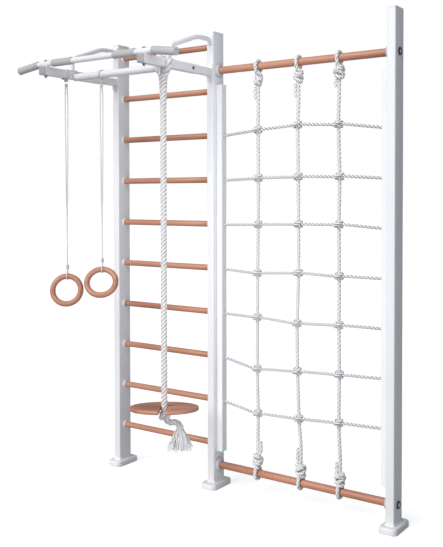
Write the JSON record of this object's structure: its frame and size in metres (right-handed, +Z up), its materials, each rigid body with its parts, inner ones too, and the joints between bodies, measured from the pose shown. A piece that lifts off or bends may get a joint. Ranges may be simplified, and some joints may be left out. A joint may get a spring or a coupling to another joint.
{
  "type": "kids wall bars",
  "caption": "Children's wall bars with a rung ladder, a knotted climbing net and an overhead frame with pull-up bar, gym rings and a climbing rope with a round seat.",
  "frame": {"origin": "on the floor, at the middle of the underside of the middle post's foot", "axes": "+X along the wall from the ladder to the net, +Y towards the wall, +Z up; the room is on -Y"},
  "size_m": [1.804, 0.6483, 2.267],
  "materials": {
    "white_steel": "satin powder coat",
    "white_rail": "satin powder coat",
    "white_foot": "fine moulded texture",
    "white_plastic": "moulded",
    "beech": "clear satin lacquer",
    "white_rope": "laid polyester rope",
    "grey_rubber": "matt foam rubber",
    "dark_grey_plastic": "moulded",
    "black_plastic": "moulded",
    "dark_steel": "blackened"
  },
  "bodies": {
    "frame": {"arm_bracket_left": "white_steel", "arm_bracket_right": "white_steel", "arm_left": "white_steel", "arm_plug_left": "dark_grey_plastic", "arm_plug_right": "dark_grey_plastic", "arm_right": "white_steel", "bar_bolt_middle_bottom": "black_plastic", "bar_bolt_middle_top": "black_plastic", "bar_bolt_right_bottom": "black_plastic", "bar_bolt_right_top": "black_plastic", "bar_clamp_bolt_left": "dark_steel", "bar_clamp_bolt_right": "dark_steel", "brace_left": "white_steel", "brace_right": "white_steel", "cap_left": "white_steel", "cap_middle": "white_steel", "cap_right": "white_steel", "climbing_net": "white_rope", "crossbar": "white_steel", "flange_middle_bottom": "white_plastic", "flange_middle_top": "white_plastic", "flange_right_bottom": "white_plastic", "flange_right_top": "white_plastic", "foot_left": "white_foot", "foot_middle": "white_foot", "foot_right": "white_foot", "grip_inner_left": "grey_rubber", "grip_inner_right": "grey_rubber", "grip_outer_left": "grey_rubber", "grip_outer_right": "grey_rubber", "net_bar_bottom": "beech", "net_bar_top": "beech", "net_rail_left": "white_rail", "net_rail_right": "white_rail", "post_left": "white_steel", "post_middle": "white_steel", "post_right": "white_steel", "pull_up_bar": "white_steel", "ring_hitch_left": "white_rope", "ring_hitch_right": "white_rope", "rope_hitch": "white_rope", "rung_01": "beech", "rung_02": "beech", "rung_03": "beech", "rung_04": "beech", "rung_05": "beech", "rung_06": "beech", "rung_07": "beech", "rung_08": "beech", "rung_09": "beech", "rung_10": "beech", "set_bolt_left": "dark_steel", "set_bolt_right": "dark_steel"},
    "ring_left_cords": {"ring_cord_left": "white_rope"},
    "ring_left_hoop": {"ring_left": "beech"},
    "ring_right_cords": {"ring_cord_right": "white_rope"},
    "ring_right_hoop": {"ring_right": "beech"},
    "rope": {"climbing_rope": "white_rope"},
    "seat": {"seat": "beech"}
  },
  "joints": [
    {"name": "ring_left_swing", "type": "hinge", "parent": "frame", "child": "ring_left_cords", "pos_m": [-0.618, -0.414, 2.0197], "axis": [1, 0, 0], "range_deg": [-60, 13]},
    {"name": "ring_left_tilt", "type": "hinge", "parent": "ring_left_cords", "child": "ring_left_hoop", "pos_m": [-0.618, -0.414, 1.055], "axis": [0.8191, 0.5736, 0], "range_deg": [-43, 77]},
    {"name": "ring_right_swing", "type": "hinge", "parent": "frame", "child": "ring_right_cords", "pos_m": [-0.424, -0.367, 2.0087], "axis": [1, 0, 0], "range_deg": [-60, 13]},
    {"name": "ring_right_tilt", "type": "hinge", "parent": "ring_right_cords", "child": "ring_right_hoop", "pos_m": [-0.424, -0.367, 1.096], "axis": [0.8191, 0.5736, 0], "range_deg": [-28, 92]},
    {"name": "rope_swing", "type": "hinge", "parent": "frame", "child": "rope", "pos_m": [0, -0.409, 2.005], "axis": [1, 0, 0], "range_deg": [-60, 6]},
    {"name": "seat_spin", "type": "hinge", "parent": "rope", "child": "seat", "pos_m": [0, -0.409, 0.479], "axis": [-0.0649, 0.0927, 0.9936], "continuous": true}
  ]
}
